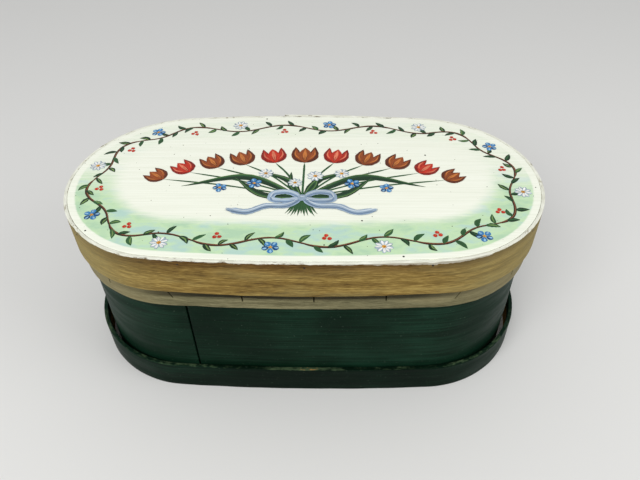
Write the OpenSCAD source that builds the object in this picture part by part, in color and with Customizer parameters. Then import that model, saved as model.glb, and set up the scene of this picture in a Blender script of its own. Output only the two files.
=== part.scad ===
// Oval bentwood box with a lift-off lid. The origin is the middle of the underside, +Z is up
// and the long axis lies along X. The wall's seam is on the front, towards -Y, and the laps of
// the lid's outer hoop and of the base band are at the back.

/* [Overall] */
// Height of the closed box
box_h = 135; // [115:1:170]
// Length over the lid's outer hoop
lid_l = 330; // [300:1:380]
// Width over the lid's outer hoop at mid length
lid_w = 170; // [150:1:185]
// How far the lid's long sides bow out between its end arcs
side_bow = 3.6; // [2.5:0.1:6]

/* [Lid] */
// Height of the lid's outer hoop
hoop_h = 29; // [24:0.5:34]
// Thickness of the lid's outer hoop
hoop_t = 2.4; // [1.6:0.1:3.4]
// Thickness of the lid's inner hoop
rim_t = 2.4; // [1.6:0.1:3.4]
// How far the inner hoop reaches below the outer one
rim_drop = 16; // [10:0.5:20]
// Thickness of the lid's top panel
panel_t = 7; // [5:0.5:9]

/* [Body] */
// Thickness of the bent wall
wall_t = 2.6; // [1.8:0.1:3.6]
// Thickness of the bottom panel
bottom_t = 7; // [5:0.5:9]
// Height of the base band
band_h = 23.5; // [18:0.5:28]
// Thickness of the base band
band_t = 3.2; // [2:0.1:4]
// How far the base band stands off the wall at each end
band_gap = 3.5; // [0.5:0.1:4.5]

/* [Laps and kerfs] */
// Length over which the outer end of a bent strip is tapered down to nothing
lap_l = 80; // [60:1:85]
// Thickness of a lap at its blunt end
lap_t = 2; // [1:0.1:2.4]
// Where the blunt end of the lid hoop's lap stands, from mid back
hoop_lap_x = -18.5; // [-30:0.5:-10]
// Where the blunt end of the base band's lap stands, from mid back
band_lap_x = -38; // [-45:0.5:-25]
// Distance of the wall's seam from where the front runs into the left end
seam_in = 7.6; // [6:0.2:14]
// Width of the open seam
seam_gap = 1.2; // [0.6:0.1:2]
// How far the wall's inner end runs on behind the seam
seam_back = 5; // [3:0.5:6]
// Spacing of the kerfs round the inner hoop
kerf_pitch = 45; // [35:1:60]
// Where the first kerf stands, from mid front
kerf_start = 9; // [0:1:20]
// Width of a kerf
kerf_w = 1.2; // [0.8:0.1:2]
// Height of uncut wood below each kerf
kerf_floor = 10; // [6:0.5:12]

/* [Fixings] */
// Spacing of the brads that hold the panel in the outer hoop
brad_pitch = 78; // [60:1:100]
// Where the first brad stands, from mid front
brad_start = 4; // [0:1:20]
// Diameter of a brad
brad_d = 1.4; // [1:0.1:2]
// Depth of a brad in the panel's edge
brad_bite = 11; // [8:0.5:16]
// Spacing of the nails that hold the band and wall to the bottom panel
nail_pitch = 85; // [60:1:100]
// Diameter of a nail
nail_d = 1.6; // [1.2:0.1:2.2]
// Depth of a nail in the bottom panel's edge
nail_bite = 10; // [7:0.5:16]
// Diameter of a tack's shank
tack_d = 1.3; // [1:0.1:1.8]
// Diameter of a tack's head
tack_head_d = 3.8; // [3:0.1:5]
// Thickness of a tack's head
tack_head_t = 0.6; // [0.4:0.1:1]
// Distance of the first tacks from the blunt end of a lap
tack_in = 5; // [4:0.5:7]
// Distance between two columns of tacks or pins
tack_step = 12; // [8:0.5:20]
// Distance of the tack rows from the edges of a strip
tack_edge = 6; // [5:0.5:8]
// Distance of the seam's pins from the upper and lower edges of the wall
pin_edge = 12; // [8:1:16]
// How deep a brad, nail or pin is sunk below the surface
sunk = 0.3; // [0.1:0.1:0.8]

/* [Fits] */
// Glue line between pieces that are fixed to each other
glue_gap = 0.15; // [0.1:0.05:0.3]
// How much less the inner hoop and the body bow than the lid's outer hoop
bow_slack = 1; // [0.5:0.1:1.5]
// Running clearance between the lid's inner hoop and the wall
lid_gap = 0.6; // [0.4:0.1:1.2]
// Clearance between the lid's panel and the top of the wall
seat_gap = 0.3; // [0.2:0.1:0.6]
// Clearance round a brad, nail or tack in its hole
pin_gap = 0.1; // [0.05:0.05:0.2]

/* [Hidden] */
// How far the end arcs stand proud where they cross the side arcs
arc_step = 0.04;
// How far a cutting tool runs past the surface
over = 5;

// An outline is [half the distance between its end arcs' centres, end arc radius, side bow]
end_r = lid_w/2 - side_bow;
end_c = lid_l/2 - end_r;
hoop_line = [end_c, end_r, side_bow];
rim_line = [end_c, end_r - hoop_t - glue_gap, side_bow - bow_slack];
wall_line = inset(rim_line, rim_t + lid_gap);
seam_x = seam_in - end_c;
band_line = [end_c + band_gap, wall_line[1] + glue_gap + band_t, wall_line[2]];

panel_z = box_h - panel_t;
hoop_z = box_h - hoop_h;
rim_z = hoop_z - rim_drop;
rim_h = panel_z - rim_z;
wall_h = panel_z - seat_gap;

brad_l = hoop_t + glue_gap + brad_bite - sunk;
nail_l = band_t + glue_gap + wall_t + glue_gap + nail_bite - sunk;
hoop_tack_l = lap_t + hoop_t + glue_gap + bow_slack + rim_t/2;
band_tack_l = lap_t + band_t + glue_gap + wall_t/2;
seam_pin_l = wall_t + lap_t/2 - sunk;

golden = "#8c7a48";
pale = "#8f8a66";
cream = "#f2f5e6";
green = "#14352a";
bare = "#b08a55";
iron = "#4a4540";

// The outline d further in
function inset(o, d) = [o[0], o[1] - d, o[2]];

// Radius of the side arcs that run smoothly into the end arcs
function side_r(o) = o[1] + (o[0]*o[0] + o[2]*o[2])/(2*o[2]);

// Distance of a side arc's centre from the long axis, on the far side of it
function side_y(o) = side_r(o) - o[1] - o[2];

// Half the angle of an end arc
function end_a(o) = atan2(side_y(o), o[0]);

// Lengths of one side arc and one end arc
function side_len(o) = side_r(o)*(90 - end_a(o))*PI/90;
function end_len(o) = o[1]*end_a(o)*PI/90;

// How many fixings or kerfs go round an outline at about this spacing
function count_round(o, pitch) = round(2*(side_len(o) + end_len(o))/pitch);
function step_round(o, pitch) = 2*(side_len(o) + end_len(o))/count_round(o, pitch);

// The disc whose edge is the back side arc
module side_disc(o) {
    translate([0, -side_y(o)]) circle(side_r(o) - arc_step, $fn = 1440);
}

// An oval of two end arcs and two bowed side arcs
module oval(o) {
    for (s = [-1, 1]) translate([s*o[0], 0]) circle(o[1], $fn = 240);
    intersection() {
        side_disc(o);
        rotate(180) side_disc(o);
        square([2*(o[0] + o[1]*cos(end_a(o))), lid_w + over], center = true);
    }
}

// Puts its children on the outline, s round from mid front, with +X pointing outwards
module on_line(o, s) {
    half = side_len(o) + end_len(o);
    n = floor((s + side_len(o)/2)/half);
    u = s - n*half;
    on_side = u <= side_len(o)/2;
    side_at = -90 + u/side_r(o)*180/PI;
    end_at = (u - side_len(o)/2)/o[1]*180/PI - end_a(o);
    rotate(180*n)
        translate(on_side ? [0, side_y(o)] : [o[0], 0])
            rotate(on_side ? side_at : end_at)
                translate([on_side ? side_r(o) : o[1], 0])
                    children();
}

// Turns its children about the point of the back side arc at x, as far as a lap rises or sinks
module lap_turn(o, x) {
    p = [x, sqrt(pow(side_r(o), 2) - x*x) - side_y(o)];
    translate(p) rotate(-atan(lap_t/lap_l)) translate(-p) children();
}

// A bent strip whose outer end laps over itself at the back, blunt at lap_x
module lapped_hoop(o, t, h, lap_x) {
    linear_extrude(h) difference() {
        union() {
            oval(o);
            intersection() {
                lap_turn(o, lap_x + lap_l) side_disc(o);
                translate([lap_x, 0]) square([lap_l + over, lid_w]);
            }
        }
        oval(inset(o, t));
    }
}

// The room inside the wall, d clear of it all round and clear of the wall's inner end
module inside_wall(d) {
    o = inset(wall_line, wall_t + d);
    butt = seam_back - seam_x;
    difference() {
        oval(o);
        rotate(180) difference() {
            translate([butt - lap_l - over, 0]) square([lap_l + over + d, lid_w/2]);
            lap_turn(o, butt - lap_l) side_disc(o);
        }
    }
}

// Places of the brads round the lid, the nails round the base and the kerfs in the inner hoop
module each_brad() {
    for (i = [0:count_round(hoop_line, brad_pitch) - 1])
        translate([0, 0, box_h - panel_t/2])
            on_line(hoop_line, brad_start + i*step_round(hoop_line, brad_pitch)) children();
}

module each_nail() {
    for (i = [0:count_round(band_line, nail_pitch) - 1])
        translate([0, 0, bottom_t/2])
            on_line(band_line, (i + 0.5)*step_round(band_line, nail_pitch)) children();
}

module each_kerf() {
    for (i = [0:count_round(rim_line, kerf_pitch) - 1])
        translate([0, 0, rim_z + kerf_floor])
            on_line(rim_line, kerf_start + i*step_round(rim_line, kerf_pitch)) children();
}

// Places of the tacks on a lap: two columns of two, square to the lap's face
module each_tack(o, lap_x, rows) {
    back = side_len(o) + end_len(o);
    for (x = [lap_x + tack_in, lap_x + tack_in + tack_step], z = rows)
        translate([0, 0, z]) lap_turn(o, lap_x + lap_l) on_line(o, back - x) children();
}

module each_hoop_tack() {
    each_tack(hoop_line, hoop_lap_x, [hoop_z + tack_edge, panel_z - tack_edge]) children();
}

module each_band_tack() {
    each_tack(band_line, band_lap_x, [tack_edge, band_h - tack_edge]) children();
}

// Places of the pins beside the seam, under the lid's hoops and under the base band
module each_seam_pin() {
    for (x = [seam_x + tack_in, seam_x + tack_in + tack_step], z = [pin_edge, wall_h - pin_edge])
        translate([0, 0, z]) on_line(wall_line, x) children();
}

// A pin driven inwards from the surface at the origin, and the hole that it sits in
module pin(d, l) {
    translate([-sunk, 0, 0]) rotate([0, -90, 0]) cylinder(d = d, h = l, $fn = 32);
}

module pin_hole(d, l) {
    reach = l + sunk + pin_gap + lap_t + over;
    translate([lap_t + over, 0, 0]) rotate([0, -90, 0]) cylinder(d = d + 2*pin_gap, h = reach, $fn = 32);
}

// A tack: a flat head on the surface and a shank driven inwards
module tack(l) {
    rotate([0, -90, 0]) cylinder(d = tack_d, h = l, $fn = 32);
    translate([pin_gap/2, 0, 0]) rotate([0, 90, 0]) cylinder(d = tack_head_d, h = tack_head_t, $fn = 48);
    rotate([0, 90, 0]) cylinder(d = tack_d, h = tack_head_t, $fn = 32);
}

// The flat board that fills the top of the outer hoop
module lid_panel() {
    color(cream) difference() {
        translate([0, 0, panel_z])
            linear_extrude(panel_t) oval(inset(hoop_line, hoop_t + glue_gap));
        each_brad() pin_hole(brad_d, brad_l);
    }
}

// The bent strip round the lid, lapped at the back
module lid_outer_hoop() {
    color(golden) difference() {
        translate([0, 0, hoop_z]) lapped_hoop(hoop_line, hoop_t, hoop_h, hoop_lap_x);
        each_brad() pin_hole(brad_d, brad_l);
        each_hoop_tack() pin_hole(tack_d, hoop_tack_l);
    }
}

// The kerfed strip inside the outer hoop, which carries the panel and slides over the wall
module lid_inner_hoop() {
    color(pale) difference() {
        translate([0, 0, rim_z])
            linear_extrude(rim_h) difference() {
                oval(rim_line);
                oval(inset(rim_line, rim_t));
            }
        each_kerf() translate([-rim_t - over, -kerf_w/2, 0]) cube([rim_t + 2*over, kerf_w, rim_h]);
        each_hoop_tack() pin_hole(tack_d, hoop_tack_l);
    }
}

// The brads through the outer hoop into the panel's edge
module panel_brads() {
    color(iron) each_brad() pin(brad_d, brad_l);
}

// The tacks through the outer hoop's lap into the inner hoop
module hoop_lap_tacks() {
    color(iron) each_hoop_tack() tack(hoop_tack_l);
}

// The bent wall, with an open seam in front backed by the tapered inner end
module body_wall() {
    color(green) difference() {
        linear_extrude(wall_h) difference() {
            oval(wall_line);
            inside_wall(0);
            on_line(wall_line, seam_x) translate([-wall_t, -seam_gap/2]) square([wall_t + over, seam_gap]);
        }
        each_nail() pin_hole(nail_d, nail_l);
        each_band_tack() pin_hole(tack_d, band_tack_l);
        each_seam_pin() pin_hole(tack_d, seam_pin_l);
    }
}

// The pins through the wall beside its seam
module seam_pins() {
    color(iron) each_seam_pin() pin(tack_d, seam_pin_l);
}

// The strip round the foot of the wall, tight along the sides and clear of it at the ends
module base_band() {
    color(green) difference() {
        lapped_hoop(band_line, band_t, band_h, band_lap_x);
        each_nail() pin_hole(nail_d, nail_l);
        each_band_tack() pin_hole(tack_d, band_tack_l);
    }
}

// The tacks through the base band's lap into the wall
module band_lap_tacks() {
    color(iron) each_band_tack() tack(band_tack_l);
}

// The board inside the foot of the wall
module bottom_panel() {
    color(bare) difference() {
        linear_extrude(bottom_t) inside_wall(glue_gap);
        each_nail() pin_hole(nail_d, nail_l);
    }
}

// The nails through the band and the wall into the bottom panel's edge
module bottom_nails() {
    color(iron) each_nail() pin(nail_d, nail_l);
}

lid_panel();
lid_outer_hoop();
lid_inner_hoop();
panel_brads();
hoop_lap_tacks();
body_wall();
seam_pins();
base_band();
band_lap_tacks();
bottom_panel();
bottom_nails();
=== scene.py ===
import math

import bpy
import numpy as np
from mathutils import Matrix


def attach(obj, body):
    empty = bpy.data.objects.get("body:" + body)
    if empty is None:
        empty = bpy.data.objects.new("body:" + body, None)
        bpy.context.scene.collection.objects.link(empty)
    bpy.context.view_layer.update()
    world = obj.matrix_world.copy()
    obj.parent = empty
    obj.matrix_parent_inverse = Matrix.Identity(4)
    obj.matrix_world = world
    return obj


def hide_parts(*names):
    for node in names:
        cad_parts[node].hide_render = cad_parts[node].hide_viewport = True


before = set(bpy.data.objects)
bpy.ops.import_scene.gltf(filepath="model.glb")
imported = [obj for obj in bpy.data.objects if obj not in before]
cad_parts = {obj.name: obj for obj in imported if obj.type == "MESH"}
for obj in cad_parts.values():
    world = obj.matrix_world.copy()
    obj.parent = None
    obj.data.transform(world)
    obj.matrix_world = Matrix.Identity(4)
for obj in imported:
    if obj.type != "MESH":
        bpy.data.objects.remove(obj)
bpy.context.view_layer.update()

# The bottom board
# One oval softwood board, planed on both faces and left bare. It sits in the foot of the bent
# wall with its grain along the box, and nails through the wall hold it by its edge.

MM = 0.001
wall_plan = (83.6, 75.85, 2.6)
wall_thick = 2.6
glue_line = 0.15
bottom_thick = 7.0
tongue_butt = -81.0
tongue_feather = -1.0
tongue_thick = 2.0


def tint(red, green, blue):
    """A colour by its everyday 0 to 255 numbers, as a shader takes it."""
    linear = [((v/255 + 0.055)/1.055)**2.4 if v > 10 else v/255/12.92 for v in (red, green, blue)]
    return (*linear, 1.0)


def plan_arcs(plan):
    """Radius of the long sides, how far beyond the long axis their centres are, and half an end's angle."""
    centre, end_radius, bow = plan
    side_radius = end_radius + (centre**2 + bow**2)/(2*bow)
    beyond = side_radius - end_radius - bow
    return side_radius, beyond, math.atan2(beyond, centre)


def half_round(plan):
    """Half the way round an oval: one long side and one end."""
    side_radius, beyond, end_angle = plan_arcs(plan)
    return side_radius*(math.pi - 2*end_angle) + 2*plan[1]*end_angle


def round_oval(plan, way, out=0.0):
    """Points and outward directions some way round an oval, from mid front towards the right end."""
    side_radius, beyond, end_angle = plan_arcs(plan)
    side = side_radius*(math.pi - 2*end_angle)
    half = half_round(plan)
    turns = np.floor((way + side/2)/half)
    part = way - turns*half
    on_side = part <= side/2
    angle = np.where(on_side, part/side_radius - math.pi/2, (part - side/2)/plan[1] - end_angle)
    reach = np.where(on_side, side_radius, plan[1]) + out
    flip = np.where(turns % 2 == 0, 1.0, -1.0)
    x = flip*(np.where(on_side, 0.0, plan[0]) + reach*np.cos(angle))
    y = flip*(np.where(on_side, beyond, 0.0) + reach*np.sin(angle))
    return x, y, flip*np.cos(angle), flip*np.sin(angle)


def way_at_front(plan, x):
    """How far round an oval the point at x on the front side is."""
    side_radius = plan_arcs(plan)[0]
    return side_radius*math.asin(x/side_radius)


def way_at_back(plan, x):
    """How far round an oval the point at x on the back side is."""
    return half_round(plan) - way_at_front(plan, x)


def uneven(along, across, size, seed):
    """A smooth unevenness of about -1 to 1 over two directions, its waves about this size."""
    draw = np.random.default_rng(seed)
    total = 0.0
    for _ in range(10):
        turn, start = draw.uniform(0, 2*math.pi, 2)
        wave = 2*math.pi/(size*draw.uniform(0.6, 1.9))
        total = total + np.sin((along*math.cos(turn) + across*math.sin(turn))*wave + start)
    return total/4


def tongue(way):
    """Thickness of the wall's tapered inner end, which lies behind the seam."""
    part = (tongue_feather - way)/(tongue_feather - tongue_butt)
    return np.where((part > 0) & (part <= 1.0001), tongue_thick*part, 0.0)


def set_mark(mesh, mark, values):
    """Puts a value, a triple or a colour on every point of a mesh, for its finish to read."""
    values = np.asarray(values, np.float32)
    numbers = 1 if values.ndim == 1 else values.shape[1]
    kind, field = {1: ("FLOAT", "value"), 3: ("FLOAT_VECTOR", "vector"), 4: ("FLOAT_COLOR", "color")}[numbers]
    layer = mesh.attributes.new(mark, kind, "POINT")
    layer.data.foreach_set(field, values.ravel())


def make_piece(name, points, faces, finish, body, marks, crease=35):
    """A piece from its points in millimetres. Its finish reads the marks, one value or triple a point."""
    mesh = bpy.data.meshes.new(name)
    mesh.from_pydata((np.asarray(points)*MM).tolist(), [], faces)
    for mark, values in marks.items():
        set_mark(mesh, mark, values)
    mesh.polygons.foreach_set("use_smooth", [True]*len(mesh.polygons))
    mesh.set_sharp_from_angle(angle=math.radians(crease))
    mesh.materials.append(finish)
    piece = bpy.data.objects.new(name, mesh)
    bpy.context.scene.collection.objects.link(piece)
    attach(piece, body)
    return piece


def sheet_faces(rows, columns, wrap):
    """Four-sided faces over a net of points, closed across its columns where it wraps."""
    last = columns if wrap else columns - 1
    corners = [(r*columns, (r + 1)*columns, c, (c + 1) % columns) for r in range(rows - 1) for c in range(last)]
    return [(near + c, near + beside, far + beside, far + c) for near, far, c, beside in corners]


def oval_board(plan, low, high, edge, way, trim, skin_rings):
    """Rings of points over an oval board: out over its underside, round its edge and in over its top."""
    turn = np.radians([30, 60, 90])
    rings = [(-edge, f, low) for f in np.linspace(0.06, 1, 12)]
    rings += [(-edge + edge*math.sin(a), 1, low + edge - edge*math.cos(a)) for a in turn]
    rings += [(0, 1, z) for z in np.linspace(low + edge, high - edge, 6)[1:]]
    rings += [(-edge + edge*math.cos(a), 1, high - edge + edge*math.sin(a)) for a in turn]
    rings += [(-edge - d, 1, high) for d in (0.6, 1.5, 2.6, 4, 5.5, 7.5, 10)]
    rings += [(-edge - 10, f, high) for f in np.linspace(1, 0.04, skin_rings)[1:]]
    net = []
    for out, share, level in rings:
        x, y, _, _ = round_oval(plan, way, out - trim)
        net.append(np.stack([x*share, y*share, np.full(len(way), level)], 1))
    return np.array(net)


def board_faces(rings, count):
    """Faces over the rings of an oval board, with a fan over each middle."""
    faces = sheet_faces(rings, count, True)
    under, over = rings*count, rings*count + 1
    top = (rings - 1)*count
    faces += [(under, (c + 1) % count, c) for c in range(count)]
    faces += [(over, top + c, top + (c + 1) % count) for c in range(count)]
    return faces


class Finish:
    """A finish laid up in coats: the wood's own tones first, then stain, paint and dirt over them."""

    def __init__(self, name, roughness, shine=0.25):
        self.material = bpy.data.materials.new(name)
        self.material.use_nodes = True
        self.tree = self.material.node_tree
        self.shader = self.tree.nodes["Principled BSDF"]
        self.shader.inputs["Roughness"].default_value = roughness
        self.shader.inputs["Specular IOR Level"].default_value = shine

    def add(self, kind, inputs, output=0, **settings):
        """One step of the finish, and what comes out of it."""
        step = self.tree.nodes.new("ShaderNode" + kind)
        for setting, value in settings.items():
            setattr(step, setting, value)
        for key, value in inputs.items():
            if isinstance(value, bpy.types.NodeSocket):
                self.tree.links.new(value, step.inputs[key])
            else:
                step.inputs[key].default_value = value
        return step.outputs[output]

    def mark(self, name, output="Fac"):
        """A value that the piece carries at each of its points."""
        return self.add("Attribute", {}, output, attribute_name=name)

    def grain(self, along, across, detail=4.0, roughness=0.6, shift=0.0):
        """Cloudy variation drawn out along the grain; its sizes are in millimetres."""
        place = self.add("Mapping", {
            "Vector": self.mark("grain", "Vector"),
            "Location": (shift, shift*0.7, shift*1.3),
            "Scale": (1000/along, 1000/across, 1000/across),
        })
        return self.add("TexNoise", {"Vector": place, "Scale": 1.0, "Detail": detail, "Roughness": roughness})

    def specks(self, spacing, size, shift=0.0):
        """Small round specks, one or none in each cell of this spacing, in millimetres."""
        place = self.add("Mapping", {
            "Vector": self.mark("grain", "Vector"),
            "Location": (shift, shift*0.7, shift*1.3),
            "Scale": (1000/spacing, 1000/spacing, 1000/spacing),
        })
        cell = self.add("TexVoronoi", {"Vector": place, "Scale": 1.0, "Randomness": 1.0}, "Distance")
        pick = self.add("TexVoronoi", {"Vector": place, "Scale": 1.0, "Randomness": 1.0}, "Color")
        chance = self.add("SeparateColor", {0: pick}, 0)
        reach = self.fade(chance, 0.55, 1.0, 0.0, size/spacing)
        return self.fade(self.sum("SUBTRACT", cell, reach), 0.012, -0.012)

    def fade(self, value, start, end, low=0.0, high=1.0):
        """A smooth change from one value to another."""
        run = {0: value, 1: start, 2: end, 3: low, 4: high}
        return self.add("MapRange", run, interpolation_type="SMOOTHSTEP")

    def sum(self, how, first, second):
        """One value worked out from two."""
        return self.add("Math", {0: first, 1: second}, operation=how)

    def blend(self, first, first_share, second, second_share):
        """Two patterns added together, each by its share."""
        return self.sum("ADD", self.sum("MULTIPLY", first, first_share), self.sum("MULTIPLY", second, second_share))

    def lay(self, share, under, over, how="MIX"):
        """One colour laid over another."""
        return self.add("Mix", {0: share, 6: under, 7: over}, 2, data_type="RGBA", blend_type=how)

    def tones(self, value, *stops):
        """A run of colours, each at its place from 0 to 1."""
        step = self.tree.nodes.new("ShaderNodeValToRGB")
        self.tree.links.new(value, step.inputs[0])
        band = step.color_ramp
        while len(band.elements) < len(stops):
            band.elements.new(0.5)
        for element, (place, colour) in zip(band.elements, stops):
            element.position = place
            element.color = colour
        return step.outputs[0]

    def done(self, colour, height=None, depth=0.1, roughness=None):
        """The colour, the roughness and the relief in millimetres go on."""
        self.tree.links.new(colour, self.shader.inputs["Base Color"])
        if roughness is not None:
            self.tree.links.new(roughness, self.shader.inputs["Roughness"])
        if height is not None:
            bump = self.add("Bump", {"Height": height, "Strength": 0.8, "Distance": depth*MM})
            self.tree.links.new(bump, self.shader.inputs["Normal"])
        return self.material


def board_finish(name, dark, middle, pale):
    """A bare board: broad growth rings drawn out along it, finer grain and a few grey marks."""
    finish = Finish(name, 0.75)
    rings = finish.grain(260, 9, 3, 0.55)
    fine = finish.grain(28, 0.7, 3, 0.65, 4.0)
    body = finish.tones(finish.blend(rings, 0.7, fine, 0.3), (0.36, dark), (0.5, middle), (0.66, pale))
    marks = finish.fade(finish.grain(30, 22, 4, 0.6, 9.0), 0.58, 0.8, 0.0, 0.35)
    return finish.done(finish.lay(marks, body, dark, "MULTIPLY"), fine, 0.12)


bottom_edge = 0.4
bottom_plan = (wall_plan[0], wall_plan[1] - wall_thick - glue_line, wall_plan[2])
bottom_half = half_round(bottom_plan)
bottom_way = np.linspace(0, 2*bottom_half, 320, endpoint=False)
bottom_way = np.where(bottom_way > bottom_half, bottom_way - 2*bottom_half, bottom_way)
bottom_net = oval_board(bottom_plan, 0.0, bottom_thick, bottom_edge, bottom_way, tongue(bottom_way), 14)
bottom_points = np.concatenate([bottom_net.reshape(-1, 3), [[0, 0, 0], [0, 0, bottom_thick]]])
bare_pine = board_finish("bare_pine", tint(150, 108, 62), tint(196, 155, 102), tint(222, 188, 138))
bottom_board = make_piece(
    "bottom_board", bottom_points, board_faces(len(bottom_net), len(bottom_way)),
    bare_pine, "box", {"grain": bottom_points*MM},
)
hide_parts("bottom_panel")

# The bent wall
# One long strip of thin wood, steamed and bent round into an oval. Its inner end is tapered and
# runs on behind the seam at the front. Green paint covers the outside only, over the seam's edges.

wall_high = 127.7
seam_x = -76.0
seam_wide = 1.2
wall_edge = 0.35
tongue_clear = 0.12


def strip_skin(outer, inner, low, high, edge, face_rows, back_rows):
    """Offsets and levels round a bent strip's section at each station, its four edges rounded."""
    outer, inner, low, high = (np.asarray(v, float)[:, None] for v in (outer, inner, low, high))
    edge = np.minimum(edge, 0.45*np.minimum(outer - inner, high - low))
    turn = np.radians([22.5, 45, 67.5, 90])
    back_turn = np.radians([0, 22.5, 45, 67.5])
    up, down = np.linspace(0, 1, face_rows), np.linspace(1, 0, back_rows)
    offsets = [
        outer + 0*up, outer - edge + edge*np.cos(turn),
        inner + edge - edge*np.sin(back_turn), inner + 0*down,
        inner + edge - edge*np.cos(turn), outer - edge + edge*np.sin(back_turn),
    ]
    levels = [
        low + edge + (high - low - 2*edge)*up, high - edge + edge*np.sin(turn),
        high - edge + edge*np.cos(back_turn), low + edge + (high - low - 2*edge)*down,
        low + edge - edge*np.sin(turn), low + edge - edge*np.cos(back_turn),
    ]
    return np.concatenate(offsets, 1), np.concatenate(levels, 1)


def bent_strip(plan, way, offsets, levels):
    """Points of a bent strip, and its faces with both ends closed."""
    way = np.broadcast_to(way, offsets.shape)
    x, y, _, _ = round_oval(plan, way, offsets)
    points = np.stack([x, y, levels], 2).reshape(-1, 3)
    stations, loop = offsets.shape
    faces = sheet_faces(stations, loop, True)
    faces.append(tuple(range(loop))[::-1])
    faces.append(tuple(range((stations - 1)*loop, stations*loop)))
    grain = np.stack([way, levels, offsets], 2).reshape(-1, 3)*MM
    return points, faces, grain


def strip_ways(start, end, spacing, bevel):
    """Stations along a strip, closer at both ends where it is eased."""
    count = int((end - start)/spacing)
    middle = np.linspace(start + 2*bevel, end - 2*bevel, count)
    first = [start, start + 0.35*bevel, start + bevel]
    last = [end - bevel, end - 0.35*bevel, end]
    return np.concatenate([first, middle, last])


def eased(way, bevel):
    """How far the end of a strip is rounded in, at each station."""
    from_end = np.minimum(way - way[0], way[-1] - way)/bevel
    return bevel*(1 - np.sqrt(np.clip(1 - (1 - np.clip(from_end, 0, 1))**2, 0, 1)))


seam_left = 2*half_round(wall_plan) + way_at_front(wall_plan, seam_x) - seam_wide/2
seam_right = way_at_front(wall_plan, seam_x) + seam_wide/2
tongue_way = np.array([tongue_butt, tongue_butt + 0.3, tongue_butt + 2, seam_right - 0.5, seam_right])
wall_way = strip_ways(seam_right, seam_left, 2.0, 0.4)
wall_ease = eased(wall_way, 0.4)
wall_outer = np.concatenate([np.full(5, -wall_thick - tongue_clear), -wall_ease])
wall_way = np.concatenate([tongue_way, wall_way])
wall_inner = -wall_thick - np.where(wall_way < 2, tongue(wall_way), 0)
wall_inner[0] += 0.3
wall_low = np.full(len(wall_way), 0.0)
wall_top = wall_high + 0.12*uneven(wall_way, 0*wall_way, 90, 3)
wall_top[wall_way < seam_right] = wall_high - 0.8
wall_offsets, wall_levels = strip_skin(wall_outer, wall_inner, wall_low, wall_top, wall_edge, 54, 20)
on_face = wall_offsets > -1.0
wall_wave = 0.10*uneven(wall_way[:, None], wall_levels, 46, 5) - 0.06
wall_offsets = wall_offsets + np.where(on_face, wall_wave, 0)
wall_points, wall_faces, wall_grain = bent_strip(wall_plan, wall_way[:, None], wall_offsets, wall_levels)
from_seam = np.minimum(np.abs(wall_way - seam_right), np.abs(seam_left - wall_way))[:, None]
wall_coat = np.minimum(1.6*(wall_offsets + 1.6), 2.4) + 6.0*np.exp(-from_seam/0.2)
on_tongue = (wall_way[:, None] < seam_right) & (wall_offsets > -wall_thick - 0.9)
wall_coat = np.where(on_tongue, 2.4, wall_coat)


def painted_strip(name, wood, coats, sheen=0.42):
    """A bent strip with paint on its outside: bare wood shows where the coat mark falls below nothing."""
    dark, middle, pale = wood
    deep, body, light = coats
    finish = Finish(name, 0.6, 0.05)
    fine = finish.grain(22, 0.55, 3, 0.65)
    broad = finish.grain(120, 5, 3, 0.55, 3.0)
    raw = finish.tones(finish.blend(fine, 0.5, broad, 0.5), (0.36, dark), (0.5, middle), (0.66, pale))
    strokes = finish.grain(60, 1.4, 3, 0.6, 7.0)
    cloud = finish.grain(70, 45, 3, 0.55, 12.0)
    paint = finish.tones(finish.blend(strokes, 0.45, cloud, 0.55), (0.35, deep), (0.5, body), (0.68, light))
    # The paint turns paler towards the ends of the long axis. This is a painted sheen where the strip curves away
    # to a glancing view.
    ends = finish.fade(finish.mark("towards_end"), 0.35, 1.0, 0.0, 0.4)
    paint = finish.lay(ends, paint, light)
    dust = finish.fade(finish.grain(1.6, 1.1, 2, 0.7, 21.0), 0.66, 0.8, 0.0, 0.35)
    paint = finish.lay(dust, paint, tint(120, 140, 122))
    breaks = finish.sum("SUBTRACT", finish.grain(5, 2.2, 5, 0.7, 17.0), 0.5)
    breaks = finish.sum("MULTIPLY", breaks, 5.0)
    covered = finish.fade(finish.sum("ADD", finish.mark("coat"), breaks), -0.15, 0.25)
    thin = finish.fade(finish.sum("ADD", finish.mark("coat"), breaks), 1.6, 0.2, 0.0, 0.55)
    paint = finish.lay(thin, paint, tint(88, 108, 78))
    colour = finish.lay(covered, raw, paint)
    gloss = finish.fade(finish.grain(40, 6, 4, 0.6, 31.0), 0.3, 0.7, sheen - 0.06, sheen + 0.12)
    rough = finish.add("Mix", {0: covered, 2: 0.8, 3: gloss}, 0, data_type="FLOAT")
    height = finish.sum("ADD", finish.blend(fine, 0.35, strokes, 0.4), covered)
    return finish.done(colour, height, 0.09, rough)


def towards_end(points):
    """From nothing at the middle of the front and back to 1 at the ends of the long axis."""
    return np.clip((np.abs(points[:, 0]) - 60)/100, 0, 1)


raw_strip = (tint(112, 78, 38), tint(168, 126, 68), tint(200, 160, 98))
wall_green = (tint(4, 20, 12), tint(8, 31, 19), tint(22, 52, 38))
green_wall_paint = painted_strip("green_wall_paint", raw_strip, wall_green)
wall = make_piece("bent_wall", wall_points, wall_faces, green_wall_paint, "box", {
    "grain": wall_grain, "coat": wall_coat.ravel(), "towards_end": towards_end(wall_points),
})
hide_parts("body_wall")

# The base band
# A second, narrower strip bent round the foot of the wall and lapped over itself at the back. It
# hugs the long sides and stands off the wall at both ends. It was painted with the wall, and its
# upper edge is rubbed bare in places.

band_plan = (87.1, 79.2, 2.6)
band_thick = 3.2
band_high = 23.5
band_lap_x = -38.0
lap_long = 80.0
lap_thick = 2.0
band_edge = 0.55
lap_clear = 0.06


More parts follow.
